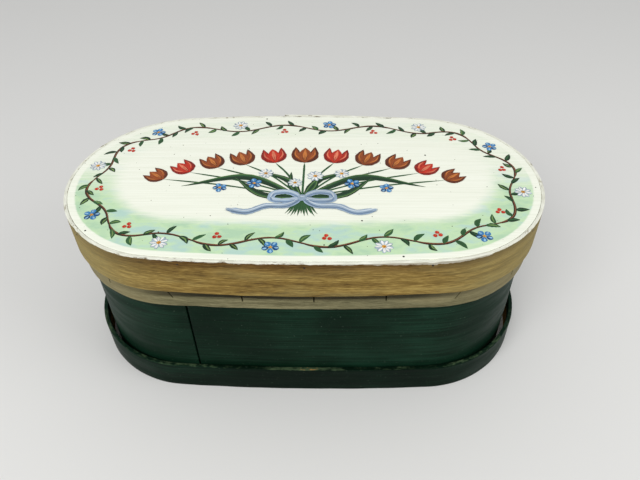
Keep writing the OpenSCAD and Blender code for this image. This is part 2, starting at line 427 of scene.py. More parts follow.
def lapped_strip(plan, thick, lap_x, spacing):
    """Stations and faces of a strip whose blunt outer end lies over its own tapered start."""
    start = way_at_back(plan, lap_x + lap_long)
    end = way_at_back(plan, lap_x) + 2*half_round(plan)
    way = strip_ways(start, end, spacing, 0.5)
    ease = eased(way, 0.5)
    taper = np.clip((way - start)/(way_at_back(plan, lap_x) - start), 0, 1)
    rise = np.clip((way - start - 2*half_round(plan))/(end - start - 2*half_round(plan)), 0, 1)
    outer = np.where(rise > 0, lap_thick*rise, -thick + (thick*taper - lap_clear*(taper < 1)).clip(0.12))
    inner = np.where(rise > 0, -thick + thick*rise, -thick)
    last = way > (start + end)/2
    outer = outer - np.where(last, ease, 0)
    return way, outer, inner + np.where(last, ease, 0)


band_way, band_outer, band_inner = lapped_strip(band_plan, band_thick, band_lap_x, 2.0)
band_top = band_high + 0.18*uneven(band_way, 0*band_way, 60, 8) - 0.1
band_foot = 0.0*band_way
band_offsets, band_levels = strip_skin(band_outer, band_inner, band_foot, band_top, band_edge, 16, 8)
on_face = band_offsets > band_inner[:, None] + 1.2
band_offsets = band_offsets + np.where(on_face, 0.12*uneven(band_way[:, None], band_levels, 38, 9) - 0.08, 0)
band_points, band_faces, band_grain = bent_strip(band_plan, band_way[:, None], band_offsets, band_levels)
rubbed_from, rubbed_to = -30.0, 10.0
rubbed_middle, rubbed_half = (rubbed_from + rubbed_to)/2, (rubbed_to - rubbed_from)/2
rubbed = np.exp(-((band_points[:, 0] - rubbed_middle)/rubbed_half)**4)*(band_points[:, 1] < 0)
band_from_back = (band_offsets - band_inner[:, None]).ravel()
near_top = np.exp(-np.abs(band_points[:, 2] - band_high)/0.28)
band_coat = 1.5*(band_from_back - 0.5) + 3.2*np.clip((band_points[:, 2] - 14)/5, 0, 1)
band_coat = np.minimum(band_coat, 2.2) - near_top*(1.2 + 1.7*rubbed)
band_green = (tint(3, 16, 9), tint(6, 24, 14), tint(18, 46, 33))
green_band_paint = painted_strip("green_band_paint", raw_strip, band_green)
band = make_piece("base_band_strip", band_points, band_faces, green_band_paint, "box", {
    "grain": band_grain, "coat": band_coat, "towards_end": towards_end(band_points),
})
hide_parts("base_band")

# The box's fixings
# Small steel nails, pins and tacks: nails through the band and wall into the bottom board, pins
# beside the wall's seam, and flat-headed tacks through the band's lap. All are dull and a bit rusty.

nail_wide = 1.6
nail_count = 10
seam_pin_wide = 1.3
tack_wide = 3.8
tack_high = 0.6
shank_wide = 1.3


def steel_finish(name, dark, bright, rust):
    """Old bright steel gone dull, with rust in patches."""
    finish = Finish(name, 0.5)
    finish.shader.inputs["Metallic"].default_value = 0.75
    cloud = finish.grain(0.9, 0.9, 4, 0.6)
    base = finish.tones(cloud, (0.35, dark), (0.65, bright))
    patches = finish.fade(finish.grain(1.3, 1.3, 5, 0.7, 5.0), 0.5, 0.62, 0.0, 0.85)
    return finish.done(finish.lay(patches, base, rust), cloud, 0.06)


def driven_fixings(name, places, head, shank, long, finish, body, seed):
    """Nails or tacks, each turned from a profile of (radius, height) pairs and set a little unevenly."""
    draw = np.random.default_rng(seed)
    profile = [(0.02*shank, -long), (0.55*shank, -long + 0.6), (shank, -long + 1.4), *head]
    sides = 20
    points, faces = [], []
    for place, out in places:
        out = np.array(out) + draw.normal(0, 0.02, 3)
        out = out/np.linalg.norm(out)
        flat = np.cross(out, (0, 0, 1.0))
        flat = flat/np.linalg.norm(flat)
        upright = np.cross(flat, out)
        wobble = 1 + 0.03*np.sin(np.arange(sides)*2*math.pi/sides*3 + draw.uniform(0, 6))
        first = len(points)
        for radius, height in profile:
            for k in range(sides):
                a = 2*math.pi*k/sides
                swing = flat*math.cos(a) + upright*math.sin(a)
                points.append(np.array(place) + swing*radius*wobble[k] + out*height)
        faces += [tuple(first + i for i in face)[::-1] for face in sheet_faces(len(profile), sides, True)]
        faces.append(tuple(range(first, first + sides)))
        faces.append(tuple(range(first + (len(profile) - 1)*sides, first + len(profile)*sides))[::-1])
    points = np.array(points)
    return make_piece(name, points, faces, finish, body, {"grain": points*MM}, 50)


def spots_on(plan, ways, levels, out):
    """Places on a strip's face, each with the direction straight out of it."""
    spots = []
    for way, level in zip(ways, levels):
        x, y, nx, ny = (float(v) for v in round_oval(plan, np.array(way), out))
        spots.append(((x, y, level), (nx, ny, 0.0)))
    return spots


def small_head(radius):
    """A nail's head, driven flush, faintly domed."""
    return [(radius*0.98, -0.5), (radius, -0.1), (radius*0.9, 0.04), (radius*0.5, 0.1), (radius*0.05, 0.12)]


def flat_head(radius, high):
    """A tack's head: thin, a bit domed, its rim rounded over."""
    return [
        (shank_wide/2, 0.0), (radius*0.9, 0.0), (radius, 0.12*high), (radius*0.99, 0.4*high),
        (radius*0.9, 0.72*high), (radius*0.62, 0.93*high), (radius*0.3, high), (radius*0.04, high),
    ]


old_steel = steel_finish("old_steel", tint(58, 54, 50), tint(120, 116, 108), tint(96, 58, 34))
painted_steel = steel_finish("painted_over_steel", tint(14, 34, 24), tint(34, 60, 46), tint(70, 52, 34))
nail_step = 2*half_round(band_plan)/nail_count
nail_ways = [(i + 0.5)*nail_step for i in range(nail_count)]
nails = driven_fixings(
    "bottom_nail_heads", spots_on(band_plan, nail_ways, [bottom_thick/2]*nail_count, -0.02),
    small_head(nail_wide/2), nail_wide/2*0.8, 14.0, painted_steel, "box", 21,
)
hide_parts("bottom_nails")

pin_ways = [seam_x + 5 + 12*i for i in (0, 1) for _ in (0, 1)]
pins = driven_fixings(
    "wall_seam_pins", spots_on(wall_plan, pin_ways, [12, wall_high - 12]*2, -0.1),
    small_head(seam_pin_wide/2), seam_pin_wide/2*0.8, 3.2, painted_steel, "box", 22,
)
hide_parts("seam_pins")


def lap_tacks(name, plan, lap_x, levels, finish, body, seed):
    """Two columns of tacks near the blunt end of a lap."""
    places = []
    for column in (5.0, 17.0):
        ways = [way_at_back(plan, lap_x + column)]*len(levels)
        places += spots_on(plan, ways, levels, lap_thick*(1 - column/lap_long) + 0.02)
    head = flat_head(tack_wide/2, tack_high)
    return driven_fixings(name, places, head, shank_wide/2, 6.0, finish, body, seed)


band_tack_levels = [6.0, band_high - 6.0]
band_tacks = lap_tacks("band_tack_heads", band_plan, band_lap_x, band_tack_levels, painted_steel, "box", 23)
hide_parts("band_lap_tacks")

# The lid's inner hoop
# A strip of paler wood bent into an oval, with saw cuts down from its top edge that let it bend.
# It carries the lid's board and reaches below the outer hoop, to slide down over the wall.

rim_plan = (83.6, 78.85, 2.6)
rim_thick = 2.4
rim_low = 90.0
rim_high = 128.0
kerf_wide = 1.2
kerf_bottom = 97.0
kerf_first = 9.0
kerf_count = 18
rim_joint = 0.3

rim_half = half_round(rim_plan)
rim_way = strip_ways(-rim_half + rim_joint/2, rim_half - rim_joint/2, 1.8, 0.3)
rim_ease = eased(rim_way, 0.3)
rim_foot = rim_low + 0.35*np.abs(uneven(rim_way, 0*rim_way, 34, 31))
rim_foot = rim_foot + 0.12*uneven(rim_way, 0*rim_way, 9, 32).clip(0)
rim_top = np.full(len(rim_way), rim_high)
rim_offsets, rim_levels = strip_skin(-rim_ease, -rim_thick + rim_ease, rim_foot, rim_top, 0.45, 26, 14)
rim_face = rim_offsets > -0.9
rim_offsets = rim_offsets + np.where(rim_face, 0.07*uneven(rim_way[:, None], rim_levels, 40, 33) - 0.05, 0)
rim_points, rim_faces, _ = bent_strip(rim_plan, rim_way[:, None], rim_offsets, rim_levels)


def unrolled(plan, points):
    """Way round the oval, level and offset of points, as if the strip were laid out flat."""
    side_radius, beyond, end_angle = plan_arcs(plan)
    side = side_radius*(math.pi - 2*end_angle)
    x, y = points[:, 0], points[:, 1]
    right = np.arctan2(y, x - plan[0])
    left = np.arctan2(-y, -x - plan[0])
    front = np.arctan2(x, beyond - y)
    back = np.arctan2(-x, y + beyond)
    at_right, at_left = np.abs(right) <= end_angle, np.abs(left) <= end_angle
    way = np.where(y < 0, front*side_radius, np.where(x > 0, 1, -1)*half_round(plan) + back*side_radius)
    way = np.where(at_right & (x > plan[0]*0.9), side/2 + (right + end_angle)*plan[1], way)
    way = np.where(at_left & (x < -plan[0]*0.9), -side/2 + (left - end_angle)*plan[1], way)
    out = np.where(y < 0, np.hypot(x, beyond - y), np.hypot(x, y + beyond)) - side_radius
    out = np.where(at_right & (x > plan[0]*0.9), np.hypot(x - plan[0], y) - plan[1], out)
    out = np.where(at_left & (x < -plan[0]*0.9), np.hypot(-x - plan[0], y) - plan[1], out)
    return np.stack([way, points[:, 2], out], 1)


def bare_strip(name, shades, edge_darkening, fine_size=(14, 0.42), broad_size=(90, 4.5), weather=0.5):
    """A bare bent strip: long grain in flecks and streaks, a darker edge, dry grey patches and a painted sheen at
    the ends.
    """
    dark, middle, pale, grey = shades
    finish = Finish(name, 0.7, 0.12)
    fine = finish.grain(*fine_size, 2, 0.6)
    flecks = finish.grain(4.0, 0.5, 2, 0.5, 6.0)
    broad = finish.grain(*broad_size, 4, 0.6, 3.0)
    mixed = finish.sum("ADD", finish.sum("MULTIPLY", fine, 0.4), finish.sum("MULTIPLY", broad, 0.38))
    mixed = finish.sum("ADD", mixed, finish.sum("MULTIPLY", flecks, 0.22))
    colour = finish.tones(mixed, (0.37, dark), (0.5, middle), (0.62, pale))
    pores = finish.fade(finish.grain(9.0, 0.3, 2, 0.5, 14.0), 0.6, 0.72, 0.0, 0.6)
    colour = finish.lay(pores, colour, dark)
    patches = finish.fade(finish.grain(55, 14, 4, 0.6, 19.0), 0.45, 0.7, 0.0, weather)
    colour = finish.lay(patches, colour, grey)
    # The dark_edge mark darkens the wood. On the inner hoop it is a painted shadow under the outer hoop's lower
    # edge; on the outer hoop it darkens the band towards its top.
    shaded = finish.fade(finish.mark("dark_edge"), 0.0, 1.0, 0.0, 0.8)
    colour = finish.lay(shaded, colour, edge_darkening, "MULTIPLY")
    # Greyer towards the ends of the long axis: a painted sheen where the strip curves away.
    ends = finish.fade(finish.mark("towards_end"), 0.1, 1.0, 0.0, 0.55)
    colour = finish.lay(ends, colour, grey)
    return finish, colour, fine


rim_shades = (tint(66, 62, 42), tint(104, 100, 72), tint(136, 130, 98), tint(152, 140, 102))
# Its dark edge tint is the colour of the painted shadow under the outer hoop.
rim_finish, rim_colour, rim_fine = bare_strip("pale_bent_wood", rim_shades, tint(44, 36, 18), weather=0.3)
pale_bent_wood = rim_finish.done(rim_colour, rim_fine, 0.14)
rim = make_piece("lid_rim_strip", rim_points, rim_faces, pale_bent_wood, "lid", {})

kerf_step = 2*rim_half/kerf_count
kerf_lean = {0: 0.0, 2: -0.5, 16: 0.45}
blade_points, blade_faces = [], []
for i in range(kerf_count):
    x, y, nx, ny = (float(v) for v in round_oval(rim_plan, np.array(kerf_first + i*kerf_step)))
    lean = kerf_lean.get(i, 0.04*math.sin(i*2.3))
    first = len(blade_points)
    bottom = kerf_bottom + 0.9*math.sin(i*1.7)
    for level, wide in ((bottom, kerf_wide*0.8), (rim_high + 2, kerf_wide)):
        slip = -lean*(level - kerf_bottom - 3)
        for out in (-rim_thick - 2, 2):
            for side in (-wide/2, wide/2):
                along = slip + side
                blade_points.append((x + nx*out - ny*along, y + ny*out + nx*along, level))
    a = first
    blade_faces += [
        (a, a + 1, a + 3, a + 2), (a + 4, a + 6, a + 7, a + 5), (a, a + 4, a + 5, a + 1),
        (a + 2, a + 3, a + 7, a + 6), (a, a + 2, a + 6, a + 4), (a + 1, a + 5, a + 7, a + 3),
    ]
blade_mesh = bpy.data.meshes.new("kerf_saw")
blade_mesh.from_pydata((np.array(blade_points)*MM).tolist(), [], blade_faces)
blade = bpy.data.objects.new("kerf_saw", blade_mesh)
bpy.context.scene.collection.objects.link(blade)
saw_cut = rim.modifiers.new("saw_cuts", "BOOLEAN")
saw_cut.operation = "DIFFERENCE"
saw_cut.solver = "EXACT"
saw_cut.object = blade
sawn = bpy.data.meshes.new_from_object(rim.evaluated_get(bpy.context.evaluated_depsgraph_get()))
rim.modifiers.clear()
rim.data = sawn
bpy.data.objects.remove(blade)
sawn_points = np.array([v.co for v in sawn.vertices])/MM
sawn_grain = unrolled(rim_plan, sawn_points)
# A painted shadow under the outer hoop's lower edge. It is strongest at the middle of the front and back and fades
# out towards the ends.
hoop_shadow = np.clip((sawn_points[:, 2] - 98.4)/2.2, 0, 1)*np.exp(-(sawn_points[:, 0]/108)**6)
set_mark(sawn, "grain", sawn_grain*MM)
set_mark(sawn, "dark_edge", hoop_shadow)
set_mark(sawn, "towards_end", towards_end(sawn_points))
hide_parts("lid_inner_hoop")

# The lid's outer hoop
# The wide strip round the lid, of a golden hardwood left bare, its fine grain running round. Its
# blunt outer end laps over the back. The cream paint of the lid's top comes over its upper edge.

hoop_plan = (83.6, 81.4, 3.6)
hoop_thick = 2.4
hoop_low = 106.0
hoop_high = 135.0
hoop_lap_x = -18.5
hoop_edge = 0.5

hoop_way, hoop_outer, hoop_inner = lapped_strip(hoop_plan, hoop_thick, hoop_lap_x, 1.6)
hoop_x, hoop_y, _, _ = round_oval(hoop_plan, hoop_way)
hoop_foot = hoop_low + 0.22*uneven(hoop_way, 0*hoop_way, 70, 41) + 0.08*uneven(hoop_way, 0*hoop_way, 8, 42)
chips = [
    (81.0, 3.2, 0.9), (6.4, 1.6, 0.35), (-77.5, 1.8, 0.4),
    (36.0, 1.2, 0.3), (-24.0, 1.4, 0.3), (116.0, 2.0, 0.4),
]
hoop_top = hoop_high + 0.05*uneven(hoop_way, 0*hoop_way, 26, 43) - 0.04
for chip_x, wide, deep in chips:
    hoop_top = hoop_top - np.where(hoop_y < 0, deep*np.exp(-((hoop_x - chip_x)/wide)**4), 0)
hoop_offsets, hoop_levels = strip_skin(hoop_outer, hoop_inner, hoop_foot, hoop_top, hoop_edge, 26, 8)
on_face = hoop_offsets > hoop_inner[:, None] + 1.2
hoop_bend = 0.14*uneven(hoop_way[:, None], hoop_levels*0.6, 52, 44)
hoop_bend = hoop_bend + 0.03*uneven(hoop_way[:, None]*0.2, hoop_levels, 3.0, 45)
hoop_offsets = hoop_offsets + np.where(on_face, hoop_bend - 0.08, 0)
hoop_points, hoop_faces, hoop_grain = bent_strip(hoop_plan, hoop_way[:, None], hoop_offsets, hoop_levels)

smear = np.exp(-((hoop_points[:, 0] - 76)/34)**4)*(hoop_points[:, 1] < 0)
paint_run = 0.75 + 0.35*uneven(hoop_grain[:, 0]/MM, 0*hoop_grain[:, 0], 14, 46) + 1.6*smear
hoop_coat = hoop_points[:, 2] - (np.repeat(hoop_top, hoop_levels.shape[1]) - paint_run)
hoop_depth = np.clip((hoop_points[:, 2] - hoop_low)/(hoop_high - hoop_low), 0, 1)
golden_shades = (tint(72, 52, 24), tint(128, 104, 52), tint(170, 145, 82), tint(150, 140, 92))
hoop_finish, hoop_colour, hoop_fine = bare_strip(
    "golden_bent_wood", golden_shades, tint(150, 112, 84), (12, 0.45), (80, 5.0), 0.3)
hoop_breaks = hoop_finish.sum("SUBTRACT", hoop_finish.grain(4.0, 1.2, 5, 0.7, 27.0), 0.5)
hoop_edge_mark = hoop_finish.blend(hoop_finish.mark("coat"), 1.0, hoop_breaks, 3.2)
hoop_cream = hoop_finish.fade(hoop_edge_mark, -0.1, 0.5)
smear_share = hoop_finish.sum("MULTIPLY", hoop_cream, hoop_finish.mark("cream_strength"))
edge_streaks = hoop_finish.grain(10, 1.5, 3, 0.6, 33.0)
cream_edge = hoop_finish.tones(edge_streaks, (0.3, tint(206, 206, 190)), (0.7, tint(240, 242, 230)))
hoop_colour = hoop_finish.lay(smear_share, hoop_colour, cream_edge)
golden_bent_wood = hoop_finish.done(
    hoop_colour, hoop_finish.sum("ADD", hoop_fine, hoop_finish.sum("MULTIPLY", hoop_cream, 0.6)), 0.16)
on_top = np.clip((hoop_points[:, 2] - (np.repeat(hoop_top, hoop_levels.shape[1]) - 0.75))/0.5, 0, 1)
hoop = make_piece("lid_hoop_strip", hoop_points, hoop_faces, golden_bent_wood, "lid", {
    "grain": hoop_grain, "coat": hoop_coat, "dark_edge": np.clip((hoop_depth - 0.55)*2.0, 0, 1),
    "towards_end": towards_end(hoop_points), "cream_strength": np.maximum(on_top, 0.45),
})
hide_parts("lid_outer_hoop")

# The lid's fixings
# Fine brads through the hoop into the edge of the lid's board, and flat-headed tacks through the
# hoop's lap at the back. Their steel has gone dark.

brad_wide = 1.4
brad_count = 11
brad_first = 4.0
brad_step = 2*half_round(hoop_plan)/brad_count
brad_ways = [brad_first + i*brad_step for i in range(brad_count)]
dark_steel = steel_finish("dark_steel", tint(34, 30, 26), tint(78, 72, 64), tint(72, 44, 26))
brads = driven_fixings(
    "lid_brad_heads", spots_on(hoop_plan, brad_ways, [hoop_high - 3.5]*brad_count, 0.0),
    small_head(brad_wide/2), brad_wide/2*0.8, 12.0, dark_steel, "lid", 24,
)
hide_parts("panel_brads")
hoop_tacks = lap_tacks("hoop_tack_heads", hoop_plan, hoop_lap_x, [112.0, 122.0], old_steel, "lid", 25)
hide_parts("hoop_lap_tacks")

# The lid's board
# A flat board let into the top of the outer hoop, level with its edge. Its top has a smooth cream
# ground with a soft green wash, faint brush lines and fine dark flecks; its underside is bare.

lid_board_plan = (83.6, 81.4 - 2.4 - 0.15, 3.6)
lid_board_low = 128.0
lid_board_high = 135.0
lid_board_edge = 0.22


def lid_top(x, y):
    """Level of the lid's painted top, which isn't quite flat."""
    return lid_board_high + 0.04*uneven(x, y, 75, 51) - 0.03


lid_way = np.linspace(0, 2*half_round(lid_board_plan), 420, endpoint=False)
lid_net = oval_board(lid_board_plan, lid_board_low, lid_board_high, lid_board_edge, lid_way, 0.0, 34)
lid_points = np.concatenate([lid_net.reshape(-1, 3), [[0, 0, lid_board_low], [0, 0, lid_board_high]]])
upper = lid_points[:, 2] > lid_board_high - 0.5
lid_points[upper, 2] += lid_top(lid_points[upper, 0], lid_points[upper, 1]) - lid_board_high
in_from_edge = -unrolled(hoop_plan, lid_points)[:, 2]
margin = 6.5
front_side = np.clip((-lid_points[:, 1] + 18)/60, 0, 1)
wash_inner, wash_fade = 44.0, 16.0
inside_margin = np.clip((in_from_edge - margin)/1.2, 0, 1)
green_wash = inside_margin*np.clip((wash_inner - in_from_edge)/wash_fade, 0, 1)*(0.25 + 0.75*front_side)
cream_finish = Finish("cream_ground", 0.5)
brush_lines = cream_finish.grain(70, 1.1, 3, 0.6)
wood_lines = cream_finish.grain(38, 0.6, 2, 0.6, 8.0)
cream_dull, cream_body, cream_light = tint(233, 237, 221), tint(240, 243, 228), tint(245, 248, 235)
cream = cream_finish.tones(brush_lines, (0.3, cream_dull), (0.5, cream_body), (0.7, cream_light))
cloudy = cream_finish.grain(26, 12, 3, 0.6, 15.0)
wash_deep, wash_body, wash_blue = tint(168, 206, 170), tint(190, 222, 176), tint(172, 208, 196)
wash_tone = cream_finish.tones(cloudy, (0.36, wash_deep), (0.5, wash_body), (0.64, wash_blue))
wash_streaks = cream_finish.sum("SUBTRACT", cream_finish.grain(18, 2.0, 4, 0.6, 22.0), 0.5)
wash_reach = cream_finish.blend(cream_finish.mark("green_wash"), 1.0, wash_streaks, 0.5)
wash_share = cream_finish.fade(wash_reach, 0.1, 0.8, 0.0, 0.9)
cream = cream_finish.lay(wash_share, cream, wash_tone)
grain_show = cream_finish.fade(wood_lines, 0.68, 0.8, 0.0, 0.14)
cream = cream_finish.lay(grain_show, cream, tint(186, 182, 150))
flecks = cream_finish.specks(8.0, 0.75)
cream = cream_finish.lay(flecks, cream, tint(38, 40, 30))
small_flecks = cream_finish.specks(4.2, 0.42, 5.0)
cream = cream_finish.lay(small_flecks, cream, tint(92, 92, 74))
under_dark, under_body, under_pale = tint(150, 112, 68), tint(190, 152, 104), tint(214, 180, 132)
under_grain = cream_finish.grain(120, 6, 4, 0.6, 40.0)
raw_board = cream_finish.tones(under_grain, (0.36, under_dark), (0.5, under_body), (0.64, under_pale))
coat_share = cream_finish.fade(cream_finish.mark("coat"), -0.2, 0.2)
lid_colour = cream_finish.lay(coat_share, raw_board, cream)
lid_relief = cream_finish.blend(brush_lines, 1.0, wood_lines, 0.5)
cream_ground = cream_finish.done(lid_colour, lid_relief, 0.02)
lid_board = make_piece(
    "lid_board", lid_points, board_faces(len(lid_net), len(lid_way)), cream_ground, "lid",
    {"grain": lid_points*MM, "green_wash": green_wash, "coat": lid_points[:, 2] - (lid_board_high - 1.5)},
)
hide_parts("lid_panel")

# The painted flowers
# Folk flowers laid on the cream ground with a loaded brush, stroke over stroke: a tied bunch of
# tulips in the middle, and a leafy vine with small flowers round the lid. Each stroke stands a
# little proud, as thick paint does.

hand = np.random.default_rng(7)
pigments = {}

stroke_shapes = {
    "round": lambda t: np.sqrt(np.clip(1 - (2*t - 1)**2, 0, 1)),
    "leaf": lambda t: np.sin(math.pi*t**0.85)**0.85,
    "comma": lambda t: 1.65*np.sqrt(t)*(1 - t)**0.95,
    "petal": lambda t: np.sin(math.pi*t**1.25)**0.6,
    "line": lambda t: np.minimum(1, np.minimum(9*t + 0.05, 12*(1 - t) + 0.02))*(1 - 0.45*t),
    "even": lambda t: np.minimum(1, np.minimum(10*t + 0.05, 10*(1 - t) + 0.05)),
}


def hand_path(points, count):
    """A smooth path through a few points, as a hand draws it."""
    points = np.array(points, float)
    if len(points) == 2:
        t = np.linspace(0, 1, count)[:, None]
        return points[0]*(1 - t) + points[1]*t
    ends = np.concatenate([[2*points[0] - points[1]], points, [2*points[-1] - points[-2]]])
    t = np.linspace(0, len(points) - 1, count)
    k = np.minimum(t.astype(int), len(points) - 2)
    u = (t - k)[:, None]
    a, b, c, d = ends[k], ends[k + 1], ends[k + 2], ends[k + 3]
    return 0.5*(2*b + (c - a)*u + (2*a - 5*b + 4*c - d)*u**2 + (3*b - a - 3*c + d)*u**3)


def stroke(pigment, path, wide, shape, colour, layer, count=9, lift=0.07):
    """One brush stroke: its path, full width, shape, colour and which layer of paint it lies in."""
    line = hand_path(path, count)
    t = np.linspace(0, 1, count)
    width = wide/2*stroke_shapes[shape](t)
    width = np.maximum(width*(1 + 0.05*hand.normal(size=count)), 0.04)
    along = np.gradient(line, axis=0)
    along /= np.linalg.norm(along, axis=1)[:, None] + 1e-9
    side = np.stack([-along[:, 1], along[:, 0]], 1)
    shade = 1 + 0.07*hand.normal()
    pot = pigments.setdefault(pigment, {"points": [], "faces": [], "pigment": [], "brush": []})
    first = len(pot["points"])
    for k, across in enumerate((-1, -0.7, 0, 0.7, 1)):
        rise = (0.0, 0.8, 1.0, 0.8, 0.0)[k]*lift
        for i in range(count):
            x, y = line[i] + side[i]*width[i]*across
            pot["points"].append((x, y, 0.012 + 0.022*layer + rise))
            pot["pigment"].append((*[min(1.0, v*shade) for v in colour[:3]], 1.0))
            pot["brush"].append((t[i]*wide*3, across*wide/2, first))
    pot["faces"] += [tuple(first + i for i in face)[::-1] for face in sheet_faces(5, count, False)]


def polar(x, y, angle, reach):
    """The point at this distance and angle, in degrees from straight back towards the left."""
    a = math.radians(angle)
    return (x - reach*math.sin(a), y + reach*math.cos(a))


def bowed(start, end, sag):
    """A middle point that bows the way from start to end sideways."""
    (x0, y0), (x1, y1) = start, end
    return ((x0 + x1)/2 - sag*(y1 - y0), (y0 + y1)/2 + sag*(x1 - x0))


leaf_dark, leaf_mid, leaf_pale = tint(26, 58, 34), tint(48, 92, 52), tint(118, 150, 84)
twig_dark, twig_mid, twig_pale = tint(62, 36, 26), tint(104, 58, 34), tint(160, 104, 66)
rust_dark, rust_mid, rust_pale = tint(96, 42, 18), tint(152, 74, 28), tint(204, 122, 56)
blue_dark, blue_mid, blue_pale = tint(26, 74, 128), tint(58, 128, 190), tint(150, 196, 226)
brick_dark, brick_mid, brick_pale = tint(140, 26, 14), tint(196, 48, 26), tint(230, 128, 96)
ribbon_dark, ribbon_mid, ribbon_pale = tint(112, 136, 166), tint(160, 182, 204), tint(206, 218, 228)
ochre, ochre_dark = tint(226, 166, 62), tint(170, 106, 34)
petal_white, petal_shade = tint(250, 250, 244), tint(166, 184, 196)


def leaf(x, y, angle, long, wide, layer):
    """A pointed leaf: dark ground, a paler half, and a fine vein."""
    tip = polar(x, y, angle, long)
    bend = hand.uniform(-0.16, 0.16)
    mid = bowed((x, y), tip, bend)
    stroke("leaves", [(x, y), mid, tip], wide, "leaf", leaf_dark if hand.random() < 0.6 else leaf_mid, layer)
    half = polar(*polar(x, y, angle, long*0.15), angle + 90, wide*0.16)
    half_tip = polar(x, y, angle, long*0.9)
    stroke("leaves", [half, bowed(half, half_tip, bend), half_tip], wide*0.36, "leaf",
           leaf_pale if hand.random() < 0.4 else leaf_mid, layer + 1)


def five_petals(x, y, size, layer):
    """A small blue flower of five round petals with an ochre eye."""
    turn = hand.uniform(0, 72)
    for k in range(5):
        angle = turn + 72*k + hand.normal(0, 4)
        near, far = polar(x, y, angle, size*0.08), polar(x, y, angle, size*0.5)
        stroke("blue_petals", [near, far], size*0.36, "petal", blue_dark if k % 2 else blue_mid, layer)
        near, far = polar(x, y, angle + 5, size*0.2), polar(x, y, angle + 5, size*0.47)
        stroke("blue_petals", [near, far], size*0.17, "petal", blue_pale, layer + 1, 6)
    dot(x, y, size*0.2, "ochre_dots", ochre, layer + 2)
    dot(x - size*0.04, y - size*0.03, size*0.08, "ochre_dots", ochre_dark, layer + 3)


def dot(x, y, size, pigment, colour, layer):
    """A dot set down with the end of the brush."""
    stroke(pigment, [(x - size/2, y), (x + size/2, y)], size, "round", colour, layer, 7)


def daisy(x, y, size, layer):
    """A white flower of narrow petals over their own grey-blue shade, with an ochre eye."""
    turn = hand.uniform(0, 40)
    for k in range(9):
        angle = turn + 40*k + hand.normal(0, 3)
        near, far = polar(x, y, angle, size*0.08), polar(x, y, angle, size*0.52)
        stroke("white_petals", [near, far], size*0.25, "petal", petal_shade, layer)
    for k in range(9):
        angle = turn + 40*k + hand.normal(0, 3)
        near, far = polar(x, y, angle, size*0.1), polar(x, y, angle, size*0.48)
        stroke("white_petals", [near, far], size*0.16, "petal", petal_white, layer + 1)
    dot(x, y, size*0.26, "ochre_dots", ochre, layer + 2)
    dot(x + size*0.03, y - size*0.04, size*0.13, "ochre_dots", ochre_dark, layer + 3)


def tulip(x, y, angle, size, layer, tones):
    """A folk tulip: two outer petals, one in the middle, each with shade and light drawn over it."""
    dark, mid, pale = tones

    def petal_line(*steps):
        """A path in the flower's own terms: angle off its middle line, and share of its height."""
        return [polar(x, y, angle + turn, size*share) for turn, share in steps]

    for side in (-1, 1):
        outer = petal_line((0, 0), (side*36, 0.5), (side*20, 1.06))
        body = petal_line((side*30, 0.12), (side*33, 0.5), (side*21, 0.96))
        lit = petal_line((side*38, 0.3), (side*36, 0.6), (side*24, 0.88))
        stroke("tulip_petals", outer, size*0.4, "leaf", dark, layer, 11)
        stroke("tulip_petals", body, size*0.24, "leaf", mid, layer + 1, 10)
        stroke("tulip_petals", lit, size*0.07, "leaf", pale, layer + 2, 8)
    stroke("tulip_petals", petal_line((0, 0), (0, 0.5), (0, 0.95)), size*0.5, "leaf", mid, layer + 2, 11)
    stroke("tulip_petals", petal_line((0, 0.12), (0, 0.85)), size*0.2, "leaf", pale, layer + 3, 9)
    for turn in (-13, 0, 13):
        vein = petal_line((turn, 0.08), (turn*0.9, 0.5))
        stroke("tulip_petals", vein, size*0.045, "comma", dark, layer + 4, 7)


def vine_twig(path, wide, layer):
    """A brown twig, darker on its near side and lit along its far side."""
    stroke("twigs", path, wide, "line", twig_dark, layer, 26)
    lit = [(px + wide*0.08, py + wide*0.16) for px, py in path]
    stroke("twigs", lit, wide*0.5, "line", twig_mid, layer + 1, 26)
    lit = [(px + wide*0.12, py + wide*0.24) for px, py in path]
    stroke("twigs", lit, wide*0.18, "line", twig_pale, layer + 2, 26)


vine_inset, vine_swing, vine_waves = 19.0, 4.2, 12
vine_half = half_round(hoop_plan)
for k in range(vine_waves):
    ways = np.linspace(k, k + 1.12, 9)*2*vine_half/vine_waves
    swing = vine_swing*np.sin(ways*2*math.pi*vine_waves/(2*vine_half))
    px, py, _, _ = round_oval(hoop_plan, ways, -vine_inset + swing)
    vine_twig(list(zip(px, py)), 2.3, 0)
leaf_count = 96
for k in range(leaf_count):
    way = (k + 0.3*hand.random())*2*vine_half/leaf_count
    swing = vine_swing*math.sin(way*2*math.pi*vine_waves/(2*vine_half))
    px, py, nx, ny = (float(v) for v in round_oval(hoop_plan, np.array(way), -vine_inset + swing))
    outward = 1 if k % 2 else -1
    heading = math.degrees(math.atan2(-nx*outward, ny*outward)) + outward*hand.uniform(28, 52)
    leaf(px, py, heading, hand.uniform(7.5, 10.0), hand.uniform(3.0, 3.9), 3)
for k in range(vine_waves*2):
    way = (k + 0.5)*vine_half/vine_waves
    swing = -4.6*math.sin(way*2*math.pi*vine_waves/(2*vine_half))
    px, py, _, _ = (float(v) for v in round_oval(hoop_plan, np.array(way), -vine_inset + swing))
    if k % 4 == 1:
        daisy(px, py, 11.5, 6)
    elif k % 4 == 3:
        five_petals(px, py, 11.0, 6)
    else:
        for turn in (0, 120, 240):
            bx, by = polar(px, py, turn + hand.uniform(-20, 20), 1.9)
            dot(bx, by, 2.9, "berries", brick_mid, 6)
            dot(bx + 0.4, by + 0.5, 0.9, "berries", brick_pale, 7)

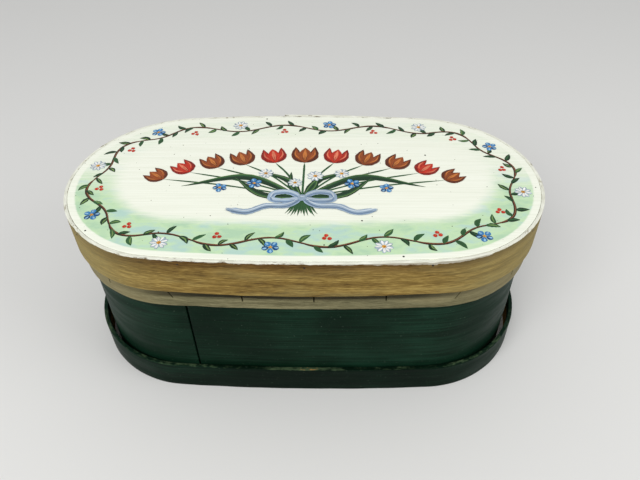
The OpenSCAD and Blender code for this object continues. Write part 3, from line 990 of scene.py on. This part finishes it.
tie = (0.0, -22.0)
bunch_high, bunch_wide = 47.0, 116.0
bunch = [(0.0, 20.0, 0)] + [
    (side*x, size, kind) for x, size, kind in (
        (21, 18.5, 1), (42, 18.5, 0), (62, 17.5, 0), (81, 16.5, 1), (98, 15.5, 0),
    ) for side in (-1, 1)
]
rust_tones, brick_tones = (rust_dark, rust_mid, rust_pale), (brick_dark, brick_mid, brick_pale)
stretch = 1.9


def bud_place(x, size):
    """Foot of a tulip's head, on a low arch over the tie."""
    return (x, tie[1] + bunch_high*math.sqrt(1 - (x/bunch_wide)**2) - 0.3*size)


for x, size, kind in bunch:
    bud = bud_place(x, size)
    foot = (-x*0.11, tie[1] - 15 - hand.uniform(0, 4))
    near = (x*0.03, tie[1])
    half_way = (x*0.5, tie[1] + (bud[1] - tie[1])*0.62)
    stroke("twigs", [foot, near, half_way, bud], 1.5, "even", leaf_mid, 3, 24)
blades = [
    (side*angle, reach, side*sag, wide) for angle, reach, sag, wide in (
        (74, 46, -0.2, 6.5), (48, 34, 0.16, 6), (27, 33, -0.15, 5.5), (9, 30, 0.12, 5),
    ) for side in (-1, 1)
]
for angle, reach, sag, wide in blades:
    ex, ey = polar(0, 0, angle, reach)
    tip = (tie[0] + ex*stretch, tie[1] + ey)
    stroke("leaves", [tie, bowed(tie, tip, sag), tip], wide, "leaf", leaf_dark, 5, 18)
    stroke("leaves", [tie, bowed(tie, tip, sag*1.12), tip], wide*0.42, "leaf", leaf_mid, 6, 18)
    stroke("leaves", [tie, bowed(tie, tip, sag*1.2), tip], wide*0.1, "leaf", leaf_pale, 7, 18)
for x, size, kind in bunch:
    bud = bud_place(x, size)
    tulip(*bud, -0.55*x, size, 8, brick_tones if kind else rust_tones)
small_flowers = [
    (-48, 24, 11), (48, 24, 11), (-10, 25, 11.5), (27, 31, 10.5),
    (-27, 31, 10.5), (10, 17, 10), (-70, 32, 10), (70, 32, 10),
]
for angle, reach, size in small_flowers:
    bx, by = polar(0, 0, angle, reach)
    if abs(angle) in (48, 70):
        five_petals(tie[0] + bx*stretch, tie[1] + by, size, 14)
    else:
        daisy(tie[0] + bx*stretch, tie[1] + by, size, 14)

for side in (-1, 1):
    loop = [(0, 0), (9*side, 6), (19*side, 5), (20*side, -2), (9*side, -3), (0, 0)]
    tail = [(0, 0), (10*side, -8), (24*side, -9), (36*side, -15), (50*side, -12)]
    for path, wide in ((loop, 5.2), (tail, 5.6)):
        placed = [(tie[0] + px, tie[1] + py) for px, py in path]
        stroke("ribbon", placed, wide, "even", ribbon_mid, 18, 30)
        shaded = [(px, py - 1.4) for px, py in placed]
        stroke("ribbon", shaded, wide*0.28, "even", ribbon_dark, 19, 30)
        lit = [(px, py + 1.2) for px, py in placed]
        stroke("ribbon", lit, wide*0.24, "even", ribbon_pale, 19, 30)
stroke("ribbon", [(tie[0] - 3.4, tie[1]), (tie[0] + 3.4, tie[1])], 6.4, "round", ribbon_mid, 21, 11)
stroke("ribbon", [(tie[0] - 1.6, tie[1] + 1.4), (tie[0] + 2, tie[1] + 1.2)], 1.4, "leaf", ribbon_pale, 22, 8)

stroke_finish = Finish("brushed_colour", 0.42)
brush_mark = stroke_finish.mark("brush", "Vector")
streak_place = stroke_finish.add("Mapping", {"Vector": brush_mark, "Scale": (0.35, 2.6, 1.7)})
streak_sizes = {"Vector": streak_place, "Scale": 1.0, "Detail": 3.0, "Roughness": 0.6}
streak = stroke_finish.add("TexNoise", streak_sizes)
streak_tone = stroke_finish.tones(streak, (0.3, tint(176, 176, 176)), (0.55, tint(255, 255, 255)))
pigment_colour = stroke_finish.lay(1.0, stroke_finish.mark("pigment", "Color"), streak_tone, "MULTIPLY")
brushed_colour = stroke_finish.done(pigment_colour, streak, 0.05)
for pigment, pot in pigments.items():
    flat = np.array(pot["points"])
    flat[:, 2] += lid_top(flat[:, 0], flat[:, 1])
    make_piece("painted_" + pigment, flat, pot["faces"], brushed_colour, "lid", {
        "grain": flat*MM, "brush": np.array(pot["brush"]), "pigment": np.array(pot["pigment"]),
    }, 60)

# The table
# A plain pale table top under the box, wide enough to fill every view.

floor_size = 6.0
floor_mesh = bpy.data.meshes.new("table_top")
floor_corners = [(x*floor_size, y*floor_size, 0) for x, y in ((-1, -1), (1, -1), (1, 1), (-1, 1))]
floor_mesh.from_pydata(floor_corners, [], [(0, 1, 2, 3)])
table_finish = Finish("pale_table", 0.9)
table_finish.shader.inputs["Base Color"].default_value = tint(222, 222, 220)
floor_mesh.materials.append(table_finish.material)
table_top = bpy.data.objects.new("table_top", floor_mesh)
table_top.location.z = -0.0002
bpy.context.scene.collection.objects.link(table_top)

# The light
# One large soft lamp in front and to the left, a weaker one to the right, and an even pale room.

room = bpy.data.worlds.new("pale_room")
room.use_nodes = True
room.node_tree.nodes["Background"].inputs["Color"].default_value = (1.0, 1.0, 1.0, 1.0)
room.node_tree.nodes["Background"].inputs["Strength"].default_value = 0.6
bpy.context.scene.world = room


def soft_lamp(name, place, size, power):
    """A square soft lamp that points at the box."""
    lamp = bpy.data.lights.new(name, "AREA")
    lamp.shape = "SQUARE"
    lamp.size = size
    lamp.energy = power
    holder = bpy.data.objects.new(name, lamp)
    holder.location = place
    aim = -np.array(place) + np.array((0, 0, 0.06))
    holder.rotation_euler = direction_turn(aim)
    bpy.context.scene.collection.objects.link(holder)
    return holder


def direction_turn(aim):
    """The turn that points a lamp's face along a direction."""
    flat = math.hypot(aim[0], aim[1])
    return (math.atan2(flat, -aim[2]), 0.0, math.atan2(-aim[0], aim[1]))


soft_lamp("front_lamp", (-0.55, -0.95, 1.05), 0.8, 11.0)
soft_lamp("right_lamp", (0.95, -0.35, 0.75), 0.7, 3.5)

# The camera
# In front of the box and above it, at the distance and tilt from which the picture was taken.

view_left_right = 0.031166
view_height = 0.740616
view_roll = -0.014996
view_distance = 0.3662
view_target = np.array((0.01291, -0.06362, 0.135))
focal_pixels = 591.5
frame_pixels = 640
level_back = np.array((math.sin(view_left_right), -math.cos(view_left_right), 0.0))
back_way = level_back*math.cos(view_height) + np.array((0.0, 0.0, math.sin(view_height)))
right_way = np.array((math.cos(view_left_right), math.sin(view_left_right), 0.0))
up_way = np.cross(back_way, right_way)
rolled_right = right_way*math.cos(view_roll) + up_way*math.sin(view_roll)
rolled_up = up_way*math.cos(view_roll) - right_way*math.sin(view_roll)
camera_place = view_target + back_way*view_distance
camera_data = bpy.data.cameras.new("camera")
camera_data.sensor_width = 36.0
camera_data.lens = focal_pixels/frame_pixels*camera_data.sensor_width
camera_data.clip_start = 0.01
camera = bpy.data.objects.new("camera", camera_data)
turned = np.eye(4)
turned[:3, 0], turned[:3, 1], turned[:3, 2], turned[:3, 3] = rolled_right, rolled_up, back_way, camera_place
camera.matrix_world = turned.T.tolist()
bpy.context.scene.collection.objects.link(camera)
bpy.context.scene.camera = camera

bpy.context.scene.view_settings.view_transform = "Standard"
